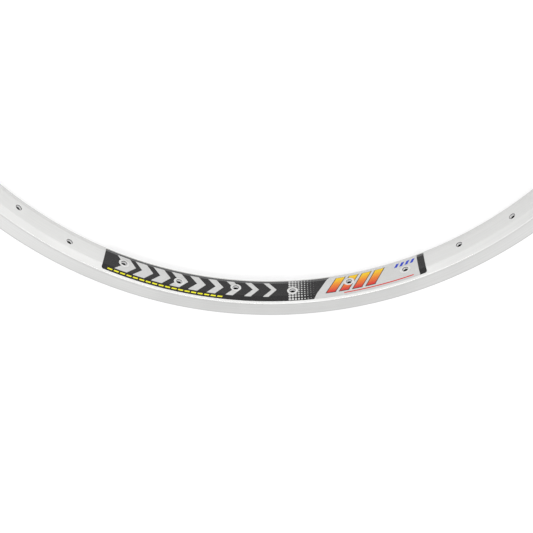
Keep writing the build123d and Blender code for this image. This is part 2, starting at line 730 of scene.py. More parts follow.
        def one_side(outline: Outline) -> Array:
            """From the middle of an outline's first drilled band to the middle of its second."""
            half = self.patch_half
            return outline.points[half : len(outline.points) // 2 + half + 1]

        loop = np.vstack([one_side(outer), (one_side(chamber) * MIRROR)[::-1]])
        flat = list(map(Vector, (loop * TO_MM).tolist()))
        _, _, faces, sources, _, _ = delaunay_2d_cdt(flat, [], [list(range(len(loop)))], INSIDE_ONLY, WELD)
        lower = loop[np.array([source[0] for source in sources])[np.array(faces)]]
        triangles = np.concatenate([lower, lower * MIRROR])
        first, second, third = np.moveaxis(triangles, 1, 0)
        a, b = second - first, third - first
        over = a[:, 0] * b[:, 1] - a[:, 1] * b[:, 0] < 0
        triangles[over] = triangles[over][:, ::-1]
        return triangles

    def add_ends(self, skin: Skin, outer: Outline, chamber: Outline, angles: Array) -> None:
        """Closes the two butted ends with flat faces between the section's outside and the chamber.

        Args:
            skin: takes the faces.
            outer: the section's outside.
            chamber: the chamber's section.
            angles: the columns' angles.
        """
        triangles = self.section_triangles(outer, chamber)
        for end, facing in ((angles[:1], Facing.OUTWARD), (angles[-1:], Facing.HUBWARD)):
            points = set_round(triangles.reshape(-1, 2), end).reshape(-1, 3, 3)
            normal = np.array([sin(end.item()), -cos(end.item()), 0.0]) * facing
            skin.add(points, np.broadcast_to(normal, points.shape), HoopSlot.BORE, facing)

    def outer_slots(self, outline: Outline) -> Array:
        """Chooses the outside's finishes: a brake track lies between a smoother knuckle, whose lighter
        colour is a painted highlight, and a rougher tip, whose darker colour is painted shade.

        Args:
            outline: the section's outside.

        Returns:
            The slot of each row of cells, of shape (1, rows).
        """
        s = self.sizes
        radius, width = np.abs((outline.points[:-1] + outline.points[1:]) / 2).T
        track = (width > s.half_width - self.groove_depth / 2) & (radius > s.knuckle_r + self.groove_start)
        reach = self.knuckle_rounding * tan((pi / 2 - s.bevel_slope) / 2)
        # the knuckle's lighter colour is a painted highlight along the edge
        knuckle = np.hypot(radius - s.knuckle_r, width - s.half_width) < reach
        # the flange tips take the darker plain finish: painted shade along the tips
        tip = radius > s.tip_r - self.tip_rounding
        chosen = [HoopSlot.PLAIN, HoopSlot.KNUCKLE, HoopSlot.TRACK]
        return np.select([tip, knuckle, track], chosen, HoopSlot.SATIN)[None, :]

    def chamber_slots(self, outline: Outline) -> Array:
        """The finish of each row of the chamber: plain on its floor, which light reaches, or else near
        black, which is painted shade.
        """
        on_floor = np.abs(outline.points[:, 0] - self.sizes.floor_r) < WELD
        return np.where(on_floor[:-1] & on_floor[1:], HoopSlot.PLAIN, HoopSlot.CHAMBER)[None, :]

    def build(self) -> Skin:
        """Works out the whole hoop.

        Returns:
            Its faces.
        """
        s = self.sizes
        skin = Skin("rolled_hoop")
        angles = self.angles()
        outer, chamber = self.outer_outline(), self.chamber_outline()
        spoke_holes = self.spoke_drilling(s.spoke_hole_r)
        access_holes = self.spoke_drilling(s.access_hole_r)
        valve_hole = self.valve_drilling()
        for outline, slots in ((outer, self.outer_slots(outer)), (chamber, self.chamber_slots(chamber))):
            rows = len(outline.points) - 1
            keep = np.ones((len(angles) - 1, rows), bool)
            for holes in (spoke_holes, valve_hole):
                for first_row in (0, rows // 2):
                    keep[self.grid.patch_cells(holes, self.joint, first_row)] = False
            skin.add_grid(*outline.round_axle(angles), slots, keep)
        # the spoke holes' rounded edges are near black: painted shade
        for holes in (spoke_holes, valve_hole):
            self.drill(skin, holes, s.bed_r, s.floor_r, HoopSlot.EDGE, HoopSlot.BORE)
        # the access holes' walls are near black: painted shade
        for holes in (access_holes, valve_hole):
            self.drill(skin, holes, s.well_r, s.ceiling_r, HoopSlot.PLAIN, HoopSlot.EDGE)
        self.add_ends(skin, outer, chamber, angles)
        return skin

    def dress(self, skin: Skin, materials: Sequence[bpy.types.Material]) -> bpy.types.Object:
        """Makes the hoop's object, which stands for the CAD hoop.

        Args:
            skin: the hoop's faces.
            materials: its materials, in the order of its slots.

        Returns:
            The object.
        """
        piece = skin.make(materials)
        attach(piece, BODY)
        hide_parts("rim_hoop")
        return piece


@dataclass
class PrintedFilm:
    """The printed film on the spoke bed and both bevels, with a punched hole round each spoke hole."""

    hoop: RolledHoop
    hole_count: int = 6  # spoke holes that the film covers
    end_margin: float = 17.0 * MM  # from the last of them to the film's end
    bevel_cover: float = 4.9 * MM
    corner_r: float = 2.0 * MM
    thickness: float = 0.1 * MM
    adhesive: float = 0.05 * MM
    punch_r: float = 4.5 * MM
    middle: float = -pi / 2 + 2 * pi  # angle of the film's middle
    whole_columns: int = 45  # columns like the hoop's each side of the middle, short of the rounded corners
    end_columns: int = 5
    bend_rows: int = 4
    corner_rows: int = 6

    @property
    def half_length(self) -> float:
        """From the film's middle to its ends, along the spoke bed."""
        s = self.hoop.sizes
        return (self.hole_count - 1) * s.pitch / 2 * s.bed_r + self.end_margin

    @property
    def half_path(self) -> float:
        """From the film's middle to its edges, along the section's path."""
        return self.hoop.sizes.half_bed + self.bevel_cover

    @property
    def half_flat(self) -> float:
        """From the film's middle to its bends, along the section's path."""
        return self.hoop.sizes.half_bed - self.hoop.bed_rounding * tan(self.hoop.sizes.bevel_slope / 2)

    def path(self, along: Array, height: float) -> Outline:
        """The section's path over the spoke bed and the bevels.

        It is flat, then an arc of radius R that turns through the bevel's slope, then straight down the
        bevel. Every point is moved out along its normal by a height.

        Args:
            along: signed lengths along the path from its middle.
            height: how far over the metal the path runs.

        Returns:
            The path's points, with normals away from the metal.
        """
        s = self.hoop.sizes
        rounding = self.hoop.bed_rounding
        past = np.abs(along) - self.half_flat
        turn = np.clip(past / rounding, 0.0, s.bevel_slope)
        straight = np.maximum(past - rounding * s.bevel_slope, 0.0)
        flat = np.minimum(np.abs(along), self.half_flat)
        width = flat + rounding * np.sin(turn) + straight * cos(s.bevel_slope)
        radius = s.bed_r + rounding * (1 - np.cos(turn)) + straight * sin(s.bevel_slope)
        side = np.sign(along)
        normals = np.column_stack([-np.cos(turn), side * np.sin(turn)])
        return Outline(np.column_stack([radius, side * width]) + height * normals, normals)

    def rows(self) -> Array:
        """Places the rows: the drilled band's lines, the bends, and the rounded corners at the edges.

        Returns:
            Signed lengths along the section's path.
        """
        turned = self.hoop.bed_rounding * self.hoop.sizes.bevel_slope
        bend = self.half_flat + turned * np.linspace(0.0, 1.0, self.bend_rows)
        quarter = np.linspace(0.0, pi / 2, self.corner_rows)
        corner = self.half_path - self.corner_r + self.corner_r * np.sin(quarter)
        half = np.concatenate([bend, corner])
        return np.concatenate([-half[::-1], self.hoop.grid.lines, half])

    def columns(self, rows: Array) -> Array:
        """Places the columns: the hoop's own columns, then shorter ones out to the rounded ends.

        Where a row is d past the start of a corner of radius R, the film ends R - sqrt(R^2 - d^2) short of
        its length.

        Args:
            rows: signed lengths of the rows along the section's path.

        Returns:
            Angles, of shape (columns, rows).
        """
        past = np.clip(np.abs(rows) - (self.half_path - self.corner_r), 0.0, self.corner_r)
        short = self.corner_r - np.sqrt(self.corner_r**2 - past**2)
        end = (self.half_length - short) / self.hoop.sizes.bed_r
        last = self.whole_columns * self.hoop.grid.step
        share = np.linspace(0.0, 1.0, self.end_columns + 1)[1:, None]
        tail = last + share * (end - last)
        whole = np.arange(-self.whole_columns, self.whole_columns + 1)[:, None] * self.hoop.grid.step
        inner = np.broadcast_to(whole, (len(whole), len(rows)))
        return self.middle + np.vstack([-tail[::-1], inner, tail])

    def punched(self) -> Holes:
        """The punched holes, on the spoke lines that the film covers.

        Returns:
            The holes.
        """
        lines = self.hoop.spoke_drilling(self.punch_r)
        under = np.abs(lines.angles - self.middle) * self.hoop.sizes.bed_r < self.half_length
        return Holes(lines.angles[under], lines.widths[under], self.punch_r)

    def build(self) -> Skin:
        """Works out the film as a closed sheet: its front, its back, its outer edge and the punched edges.

        Returns:
            Its faces.
        """
        skin = Skin("printed_film")
        grid = self.hoop.grid
        bed_r = self.hoop.sizes.bed_r
        rows = self.rows()
        angles = self.columns(rows)
        holes = self.punched()
        keep = np.ones((len(angles) - 1, len(rows) - 1), bool)
        start = self.middle - len(angles) // 2 * grid.step
        keep[grid.patch_cells(holes, start, (len(rows) - len(grid.lines)) // 2)] = False
        faces = {}
        heights = {Facing.HUBWARD: self.adhesive + self.thickness, Facing.OUTWARD: self.adhesive}
        for facing, height in heights.items():
            points, normals = self.path(rows, height).round_axle(angles)
            skin.add_grid(points, -facing * normals, ONLY_SLOT, keep, facing)
            circle = grid.circle(holes, bed_r - height, facing)
            skin.add_fan(grid.rectangle(holes, bed_r - height, facing), circle, ONLY_SLOT, facing)
            faces[facing] = (points, circle.points)
        front, front_holes = faces[Facing.HUBWARD]
        back, back_holes = faces[Facing.OUTWARD]
        wall = grid.circle(holes, bed_r, Facing.HUBWARD, lean=pi / 2).normals
        skin.add_strip(Ring(front_holes, wall), Ring(back_holes, wall), ONLY_SLOT, Facing.HUBWARD)
        self.add_edge(skin, front, back)
        return skin

    def add_edge(self, skin: Skin, front: Array, back: Array) -> None:
        """Joins the outer edges of the film's front and back.

        A normal is square to the edge's run, from the point before to the point after, and to the film's
        thickness.

        Args:
            skin: takes the faces.
            front: the front's grid of points.
            back: the back's.
        """

        def edge(points: Array) -> Array:
            """The grid's outline, as one closed ring."""
            sides = [points[:-1, 0], points[-1, :-1], points[:0:-1, -1], points[0, :0:-1]]
            return np.concatenate(sides)[None]

        outer, inner = edge(front), edge(back)
        along = np.roll(outer, -1, 1) - np.roll(outer, 1, 1)
        normals = np.cross(along, inner - outer)
        normals /= np.linalg.norm(normals, axis=-1, keepdims=True)
        skin.add_strip(Ring(inner, normals), Ring(outer, normals), ONLY_SLOT, Facing.HUBWARD)

    def dress(self, skin: Skin, material: bpy.types.Material) -> bpy.types.Object:
        """Makes the film's object, which stands for the CAD decal.

        Args:
            skin: the film's faces.
            material: its material.

        Returns:
            The object.
        """
        piece = skin.make([material])
        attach(piece, BODY)
        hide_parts("decal")
        return piece


@dataclass
class JointSleeve:
    """The sleeve inside the chamber, which keeps its CAD shape."""

    node: str = "joint_sleeve"

    def dress(self, material: bpy.types.Material) -> bpy.types.Object:
        """Gives the CAD sleeve its finish.

        Args:
            material: its material.

        Returns:
            The CAD object.
        """
        piece = frame["nodes"][self.node]
        piece.data.materials.clear()
        piece.data.materials.append(material)
        return piece


class Kind(Enum):
    """Kinds of socket on a shader node group."""

    NUMBER = "NodeSocketFloat"
    PLACE = "NodeSocketVector"


@dataclass
class Wiring:
    """A node tree that is being wired."""

    tree: bpy.types.NodeTree

    def feed(self, socket: Socket, value: Given) -> None:
        """Links another socket to this one, or sets its own value.

        Args:
            socket: the input that is fed.
            value: an output, a number, a vector or a colour.
        """
        if isinstance(value, bpy.types.NodeSocket):
            self.tree.links.new(value, socket)
        elif socket.type == "RGBA":
            socket.default_value = (*value, 1.0)
        else:
            socket.default_value = value

    def node(self, kind: str, inputs: Mapping[str | int, Given], **settings: object) -> bpy.types.Node:
        """Adds a node.

        Args:
            kind: its type.
            inputs: what its inputs are fed, by name or number.
            settings: its options, by name.

        Returns:
            The node.
        """
        node = self.tree.nodes.new(kind)
        for name, value in settings.items():
            setattr(node, name, value)
        for name, value in inputs.items():
            self.feed(node.inputs[name], value)
        return node

    def place(self, name: str) -> Socket:
        """The place that a material or the surround is read at, in the named coordinates."""
        return self.node("ShaderNodeTexCoord", {}).outputs[name]

    def math(self, operation: str, *values: Given) -> Socket:
        """The result of a Math node, with its inputs in order."""
        return self.node("ShaderNodeMath", dict(enumerate(values)), operation=operation).outputs[0]

    def step(self, value: Given, low: Given, high: Given) -> Socket:
        """0 before low and 1 past high, with a smooth rise between."""
        inputs = {"Value": value, "From Min": low, "From Max": high}
        return self.node("ShaderNodeMapRange", inputs, interpolation_type="SMOOTHSTEP").outputs["Result"]

    def spread(self, value: Given, source: Range, target: Range) -> Socket:
        """A value moved in proportion from one range to another, and held at its ends."""
        names = ("Value", "From Min", "From Max", "To Min", "To Max")
        return self.node("ShaderNodeMapRange", dict(zip(names, (value, *source, *target)))).outputs["Result"]

    def vector(self, x: Given, y: Given, z: Given) -> Socket:
        """Three numbers as a vector."""
        return self.node("ShaderNodeCombineXYZ", {"X": x, "Y": y, "Z": z}).outputs[0]

    def parts(self, vector: Socket) -> Sequence[Socket]:
        """The three numbers of a vector."""
        return self.node("ShaderNodeSeparateXYZ", {0: vector}).outputs

    def reach(self, direction: Socket, axis: Triple) -> Socket:
        """How far a direction goes along an axis."""
        inputs = {0: direction, 1: axis}
        return self.node("ShaderNodeVectorMath", inputs, operation="DOT_PRODUCT").outputs["Value"]

    def noise(self, place: Socket, scale: Given, detail: float) -> Socket:
        """Smooth noise, about 0.5 on average."""
        inputs = {"Vector": place, "Scale": scale, "Detail": detail}
        return self.node("ShaderNodeTexNoise", inputs).outputs["Fac"]

    def mix(self, share: Given, first: Given, second: Given) -> Socket:
        """A colour between two colours."""
        inputs = dict(zip(MIX_INPUTS, (share, first, second)))
        return self.node("ShaderNodeMix", inputs, data_type="RGBA").outputs[MIX_RESULT]

    def bump(self, height_mm: Socket) -> Socket:
        """The normal that a height in millimetres gives."""
        return self.node("ShaderNodeBump", {"Distance": MM, "Height": height_mm}).outputs["Normal"]

    def use(self, effect: bpy.types.NodeTree, **inputs: Given) -> Sequence[Socket]:
        """The outputs of a shared effect, whose inputs are fed by name."""
        return self.node("ShaderNodeGroup", inputs, node_tree=effect).outputs


@dataclass
class Effect:
    """A shader node group that is being wired, with named inputs and outputs."""

    name: str
    inputs: dict[str, Kind]
    outputs: tuple[str, ...]

    def __post_init__(self) -> None:
        """Makes the group and its sockets."""
        self.tree = bpy.data.node_groups.new(self.name, "ShaderNodeTree")
        for name, kind in self.inputs.items():
            self.tree.interface.new_socket(name, in_out="INPUT", socket_type=kind.value)
        for name in self.outputs:
            self.tree.interface.new_socket(name, in_out="OUTPUT", socket_type=Kind.NUMBER.value)
        self.wiring = Wiring(self.tree)
        self.entry = self.wiring.node("NodeGroupInput", {}).outputs
        self.exit = self.wiring.node("NodeGroupOutput", {}).inputs

    def put_out(self, **values: Socket) -> bpy.types.NodeTree:
        """Feeds the outputs.

        Args:
            values: what they are fed, by name.

        Returns:
            The finished group.
        """
        for name, value in values.items():
            self.wiring.feed(self.exit[name], value)
        return self.tree


@dataclass
class SharedEffects:
    """The effects that the finishes share, each built once."""

    bed_r: float
    line_detail: float = 3.0
    grain_detail: float = 2.0
    ink_edge: float = 0.12  # mm over which a bar's ink fades in
    dot_size: float = 0.46  # a dot's largest radius, as a share of the pitch
    dot_edge: float = 0.08  # over which a dot's ink fades in, as a share of the pitch
    dots_edge: float = 0.2  # mm over which the net of dots fades in

    def __post_init__(self) -> None:
        """Builds the groups."""
        self.hoop_place = self.make_hoop_place()
        self.drawn_lines = self.make_drawn_lines()
        self.fine_grain = self.make_fine_grain()
        self.ink_bars = self.make_ink_bars()
        self.ink_dots = self.make_ink_dots()

    def make_hoop_place(self) -> bpy.types.NodeTree:
        """Where a point lies, in mm: along the spoke bed from +X, out from the axle line and across.

        Returns:
            The group.
        """
        effect = Effect("hoop_place", {"Position": Kind.PLACE}, ("Around", "Radius", "Width"))
        w = effect.wiring
        x, y, z = w.parts(effect.entry["Position"])
        square = w.math("ADD", w.math("MULTIPLY", x, x), w.math("MULTIPLY", y, y))
        return effect.put_out(
            Around=w.math("MULTIPLY", w.math("ARCTAN2", y, x), self.bed_r * TO_MM),
            Radius=w.math("MULTIPLY", w.math("SQRT", square), TO_MM),
            Width=w.math("MULTIPLY", z, TO_MM),
        )

    def make_drawn_lines(self) -> bpy.types.NodeTree:
        """Fine lines round the hoop, as drawing or turning leaves them.

        They are noise that is Run long one way and Pitch wide across.

        Returns:
            The group.
        """
        inputs = {name: Kind.NUMBER for name in ("Around", "Across", "Pitch", "Run")}
        effect = Effect("drawn_lines", inputs, ("Height",))
        w, given = effect.wiring, effect.entry
        along = w.math("DIVIDE", given["Around"], given["Run"])
        across = w.math("DIVIDE", given["Across"], given["Pitch"])
        return effect.put_out(Height=w.noise(w.vector(along, across, 0.0), 1.0, self.line_detail))

    def make_fine_grain(self) -> bpy.types.NodeTree:
        """Even grain of a given size in mm, in every direction alike.

        Returns:
            The group.
        """
        effect = Effect("fine_grain", {"Position": Kind.PLACE, "Size": Kind.NUMBER}, ("Height",))
        w = effect.wiring
        scale = w.math("DIVIDE", TO_MM, effect.entry["Size"])
        return effect.put_out(Height=w.noise(effect.entry["Position"], scale, self.grain_detail))

    def make_ink_bars(self) -> bpy.types.NodeTree:
        """A row of leaning bars: Duty of each Pitch is inked from Start to End, between Low and High.

        A bar lies where the share of (Along - Slant Across - Start) / Pitch past a whole number is below
        Duty.

        Returns:
            The group.
        """
        names = ("Along", "Across", "Start", "End", "Low", "High", "Pitch", "Duty", "Slant")
        effect = Effect("ink_bars", {name: Kind.NUMBER for name in names}, ("Ink",))
        w, given = effect.wiring, effect.entry
        leaning = w.math("SUBTRACT", given["Along"], w.math("MULTIPLY", given["Slant"], given["Across"]))
        past = w.math("SUBTRACT", leaning, given["Start"])
        share = w.math("FRACT", w.math("DIVIDE", past, given["Pitch"]))
        within = w.math("MULTIPLY", share, given["Pitch"])
        bar = w.math("MULTIPLY", given["Pitch"], given["Duty"])

        def between(value: Socket, low: Given, high: Socket) -> Socket:
            """1 between two limits, with soft edges.

            Args:
                value: what is limited.
                low: the lower limit.
                high: the upper limit.

            Returns:
                The share of ink.
            """
            rise = w.step(value, low, w.math("ADD", low, self.ink_edge))
            fall = w.step(value, w.math("SUBTRACT", high, self.ink_edge), high)
            return w.math("MULTIPLY", rise, w.math("SUBTRACT", 1.0, fall))

        along = between(leaning, given["Start"], given["End"])
        across = between(given["Across"], given["Low"], given["High"])
        inked = w.math("MULTIPLY", between(within, 0.0, bar), w.math("MULTIPLY", along, across))
        return effect.put_out(Ink=inked)

    def make_ink_dots(self) -> bpy.types.NodeTree:
        """A square net of dots that shrink from Start to End.

        Returns:
            The group.
        """
        names = ("Along", "Across", "Start", "End", "Pitch")
        effect = Effect("ink_dots", {name: Kind.NUMBER for name in names}, ("Ink",))
        w, given = effect.wiring, effect.entry

        def offset(value: Socket) -> Socket:
            """How far a place is from its dot's middle, as a share of the pitch, squared."""
            share = w.math("SUBTRACT", w.math("FRACT", w.math("DIVIDE", value, given["Pitch"])), 0.5)
            return w.math("MULTIPLY", share, share)

        apart = w.math("SQRT", w.math("ADD", offset(given["Along"]), offset(given["Across"])))
        gone = w.step(given["Along"], given["Start"], given["End"])
        size = w.math("MULTIPLY", w.math("SUBTRACT", 1.0, gone), self.dot_size)
        begun = w.step(given["Along"], w.math("SUBTRACT", given["Start"], self.dots_edge), given["Start"])
        dot = w.math("SUBTRACT", 1.0, w.step(apart, w.math("SUBTRACT", size, self.dot_edge), size))
        return effect.put_out(Ink=w.math("MULTIPLY", dot, begun))


def new_material(name: str) -> tuple[bpy.types.Material, Wiring, bpy.types.Node]:
    """Starts a material.

    Args:
        name: its name.

    Returns:
        The material, its wiring and its Principled shader.
    """
    material = bpy.data.materials.new(name)
    material.use_nodes = True
    return material, Wiring(material.node_tree), material.node_tree.nodes["Principled BSDF"]


def grey(level: float) -> Colour:
    """A neutral colour."""
    return (level, level, level)


@dataclass(frozen=True)
class MetalFinish:
    """A finish of bare or anodised aluminium, with fine lines round the hoop and an even grain."""

    name: str
    light: Colour
    dark: Colour
    roughness: Range
    line_pitch: float
    line_run: float
    line_depth: float
    grain_size: float
    grain_depth: float
    haze_size: float = 35.0
    line_share: float = 0.6  # of the lines in the tone, where the haze has the rest
    lines_by_radius: bool = False
    metallic: float = 1.0

    def material(self, effects: SharedEffects) -> bpy.types.Material:
        """Builds the finish's material.

        Args:
            effects: the shared node groups.

        Returns:
            The material.
        """
        material, w, shader = new_material(self.name)
        position = w.place("Object")
        place = w.use(effects.hoop_place, Position=position)
        across = place["Radius"] if self.lines_by_radius else place["Width"]
        sizes = {"Pitch": self.line_pitch, "Run": self.line_run}
        lines = w.use(effects.drawn_lines, Around=place["Around"], Across=across, **sizes)["Height"]
        grain = w.use(effects.fine_grain, Position=position, Size=self.grain_size)["Height"]
        haze = w.use(effects.fine_grain, Position=position, Size=self.haze_size)["Height"]
        hazy = w.math("MULTIPLY", haze, 1 - self.line_share)
        tone = w.math("MULTIPLY_ADD", lines, self.line_share, hazy)
        w.feed(shader.inputs["Base Color"], w.mix(w.step(tone, *NOISE_RANGE), self.dark, self.light))
        w.feed(shader.inputs["Roughness"], w.spread(haze, NOISE_RANGE, self.roughness))
        shader.inputs["Metallic"].default_value = self.metallic
        grained = w.math("MULTIPLY", grain, self.grain_depth)
        w.feed(shader.inputs["Normal"], w.bump(w.math("MULTIPLY_ADD", lines, self.line_depth, grained)))
        return material


HOOP_FINISHES = {
    HoopSlot.SATIN: MetalFinish(
        name="satin_silver",
        light=(0.682, 0.682, 0.674),
        dark=(0.642, 0.642, 0.634),
        roughness=(0.36, 0.44),
        line_pitch=1.4,
        line_run=90.0,
        line_depth=0.003,
        grain_size=0.25,
        grain_depth=0.004,
    ),
    HoopSlot.TRACK: MetalFinish(
        name="machined_track",
        light=(0.672, 0.672, 0.665),
        dark=(0.604, 0.604, 0.598),
        roughness=(0.30, 0.38),
        line_pitch=0.9,
        line_run=160.0,
        line_depth=0.006,
        grain_size=0.2,
        grain_depth=0.002,
        lines_by_radius=True,
    ),
    HoopSlot.BORE: MetalFinish(
        name="drilled_bore",
        light=grey(0.90),
        dark=grey(0.82),
        roughness=(0.60, 0.70),
        line_pitch=0.2,
        line_run=4.0,
        line_depth=0.01,
        grain_size=0.2,
        grain_depth=0.008,
        lines_by_radius=True,
        metallic=0.0,
    ),
    # near black: painted shade inside the chamber
    HoopSlot.CHAMBER: MetalFinish(
        name="dull_chamber",
        light=grey(0.012),
        dark=grey(0.008),
        roughness=(0.50, 0.62),
        line_pitch=0.5,
        line_run=60.0,
        line_depth=0.008,
        grain_size=0.3,
        grain_depth=0.006,
    ),
    # near black: painted shade on the spoke holes' rounded edges and the access holes' walls
    HoopSlot.EDGE: MetalFinish(
        name="dark_edge",
        light=grey(0.02),
        dark=grey(0.01),
        roughness=(0.40, 0.55),
        line_pitch=0.2,
        line_run=4.0,
        line_depth=0.006,
        grain_size=0.2,
        grain_depth=0.006,
        lines_by_radius=True,
    ),
    # also on the flange tips, where its darker colour is painted shade
    HoopSlot.PLAIN: MetalFinish(
        name="plain_extruded",
        light=grey(0.58),
        dark=grey(0.50),
        roughness=(0.42, 0.55),
        line_pitch=0.4,
        line_run=60.0,
        line_depth=0.01,
        grain_size=0.3,
        grain_depth=0.005,
    ),
    # the lighter colour is a painted highlight along the knuckle; the lower roughness is the knuckle's own
    HoopSlot.KNUCKLE: MetalFinish(
        name="burnished_knuckle",
        light=(0.76, 0.76, 0.752),
        dark=(0.71, 0.71, 0.702),
        roughness=(0.24, 0.32),
        line_pitch=0.3,
        line_run=120.0,
        line_depth=0.002,
        grain_size=0.2,
        grain_depth=0.001,
        lines_by_radius=True,
    ),
}


@dataclass(frozen=True)
class InkRow:
    """A row of leaning bars on the film: by default one bar over its whole width. Sizes are in mm."""

    start: float
    end: float = 500.0  # past the film's end
    low: float = -20.0
    high: float = 20.0
    pitch: float = 1000.0
    duty: float = 1.0
    slant: float = 0.0

    def ink(self, w: Wiring, effects: SharedEffects, **places: Given) -> Socket:
        """The row's share of ink, where places gives Along, Across and any size that changes."""
        sizes = {name.title(): size for name, size in asdict(self).items()}
        return w.use(effects.ink_bars, **(sizes | places))["Ink"]


@dataclass(frozen=True)
class FilmFinish:
    """The printed vinyl film: a dark field and a silver field with bars, arrowheads, dots and dashes."""

    name: str = "printed_vinyl"
    black: Colour = (0.005, 0.0045, 0.005)
    silver: Colour = (0.49, 0.49, 0.485)
    yellow: Colour = (0.70, 0.46, 0.004)
    lemon: Colour = (0.70, 0.66, 0.004)
    orange: Colour = (0.66, 0.18, 0.01)
    red: Colour = (0.52, 0.024, 0.014)
    blue: Colour = (0.02, 0.045, 0.42)
    middle_deg: float = -90.0
    silver_field: InkRow = InkRow(start=48.0, slant=LEAN)
    arrows: InkRow = InkRow(start=-118.0, end=21.0, low=-1.0, high=8.7, pitch=15.5, slant=-0.8)
    arrow_run: Range = (-118.0, 20.0)  # mm along the film over which the arrowheads thin
    arrow_duty: Range = (0.70, 0.26)
    dot_run: Range = (20.0, 50.0)  # mm along the film over which the dots shrink
    dot_pitch: float = 2.5
    warm_edges: InkRow = InkRow(start=55.5, end=99.0, low=-8.9, high=8.9, pitch=11.0, duty=0.79, slant=LEAN)
    warm_bars: InkRow = InkRow(start=56.2, end=99.0, low=-8.3, high=8.3, pitch=11.0, duty=0.66, slant=LEAN)
    warm_reach: float = 7.0  # mm from the film's middle to the last of the warm colours
    dashes: InkRow = InkRow(start=-127.0, end=-30.0, low=-11.3, high=-10.0, pitch=5.4, duty=0.78, slant=0.3)
    ticks: InkRow = InkRow(start=107.0, end=125.0, low=3.6, high=8.2, pitch=4.5, duty=0.6, slant=LEAN)
    underline: InkRow = InkRow(start=66.0, end=124.0, low=-11.0, high=-10.0)
    end_bar: InkRow = InkRow(start=129.0)
    roughness: Range = (0.22, 0.30)
    grain_size: float = 0.35
    grain_depth: float = 0.003
    ior: float = 1.4

    def material(self, effects: SharedEffects) -> bpy.types.Material:
        """Builds the film's material, with one layer of ink over another.

        Args:
            effects: the shared node groups.

        Returns:
            The material.
        """
        material, w, shader = new_material(self.name)
        position = w.place("Object")
        place = w.use(effects.hoop_place, Position=position)
        along = w.math("SUBTRACT", place["Around"], radians(self.middle_deg) * effects.bed_r * TO_MM)
        across = w.math("MULTIPLY", place["Width"], -1.0)

        def bars(row: InkRow) -> Socket:
            """The ink of one row of bars."""
            return row.ink(w, effects, Along=along, Across=across)

        layers = (
            (self.silver_ink(w, effects, along, across), self.silver),
            (bars(self.warm_edges), self.black),
            (bars(self.warm_bars), self.warm_colour(w, across)),
            (bars(self.dashes), self.lemon),
            (bars(self.ticks), self.blue),
            (bars(self.underline), self.red),
            (bars(self.end_bar), self.black),
        )
        colour = self.black
        for ink, over in layers:
            colour = w.mix(ink, colour, over)
        grain = w.use(effects.fine_grain, Position=position, Size=self.grain_size)["Height"]
        w.feed(shader.inputs["Base Color"], colour)
        w.feed(shader.inputs["Roughness"], w.spread(grain, NOISE_RANGE, self.roughness))
        w.feed(shader.inputs["Normal"], w.bump(w.math("MULTIPLY", grain, self.grain_depth)))
        shader.inputs["IOR"].default_value = self.ior
        return material

    def silver_ink(self, w: Wiring, effects: SharedEffects, along: Socket, across: Socket) -> Socket:
        """The silver field, the arrowheads, which are bars that lean by both sides alike, and the dots.

        Args:
            w: wiring of the film's material.
            effects: the shared node groups.
            along: mm along the film from its middle.
            across: mm across it.

        Returns:
            The share of silver ink.
        """
        field_ink = self.silver_field.ink(w, effects, Along=along, Across=across)
        duty = w.spread(along, self.arrow_run, self.arrow_duty)
        arrows = self.arrows.ink(w, effects, Along=along, Across=w.math("ABSOLUTE", across), Duty=duty)
        sizes = dict(zip(("Start", "End", "Pitch"), (*self.dot_run, self.dot_pitch)))
        dots = w.use(effects.ink_dots, Along=along, Across=across, **sizes)["Ink"]
        return w.math("MAXIMUM", field_ink, w.math("MAXIMUM", arrows, dots))

    def warm_colour(self, w: Wiring, across: Socket) -> Socket:
        """Yellow at one side of the film, turning through orange to red at the other."""
        first = w.mix(w.spread(across, (self.warm_reach, 0.0), (0.0, 1.0)), self.yellow, self.orange)
        return w.mix(w.spread(across, (0.0, -self.warm_reach), (0.0, 1.0)), first, self.red)


@dataclass(frozen=True)
class Softbox:
    """A large soft light."""

    name: str
    place: Triple
    aim: Triple
    size: Range
    power: float

    def hang(self) -> bpy.types.Object:
        """Adds the light to the scene, turned to its aim.

        Returns:
            The light's object.
        """
        light = bpy.data.lights.new(self.name, "AREA")
        light.shape = "RECTANGLE"
        light.size, light.size_y = self.size
        light.energy = self.power
        lamp = bpy.data.objects.new(self.name, light)
        lamp.location = self.place
        lamp.rotation_euler = (Vector(self.aim) - Vector(self.place)).to_track_quat("-Z", "Y").to_euler()
        bpy.context.scene.collection.objects.link(lamp)
        return lamp


@dataclass(frozen=True)
class Ramp:
    """A smooth rise over the surround, by how far a direction goes along an axis."""

    axis: Triple
    limits: Range  # where it is 0 and where it is 1
    both_ways: bool = False

    def rise(self, w: Wiring, direction: Socket) -> Socket:
        """The ramp over the surround, from 0 to 1."""
        reach = w.reach(direction, self.axis)
        return w.step(w.math("ABSOLUTE", reach) if self.both_ways else reach, *self.limits)


@dataclass(frozen=True)
class SurroundPart:
    """A part of the surround that is brighter or darker than the rest: there, all its ramps are up."""

    gain: float
    ramps: tuple[Ramp, ...]

    def added(self, w: Wiring, direction: Socket, strength: Given) -> Socket:
        """Adds the part's gain, times all its ramps.

        Args:
            w: wiring of the surround.
            direction: the direction that is looked in.
            strength: the surround's strength without this part.

        Returns:
            The strength with it.
        """
        share: Given = 1.0
        for ramp in self.ramps:
            share = w.math("MULTIPLY", share, ramp.rise(w, direction))
        return w.math("MULTIPLY_ADD", share, self.gain, strength)


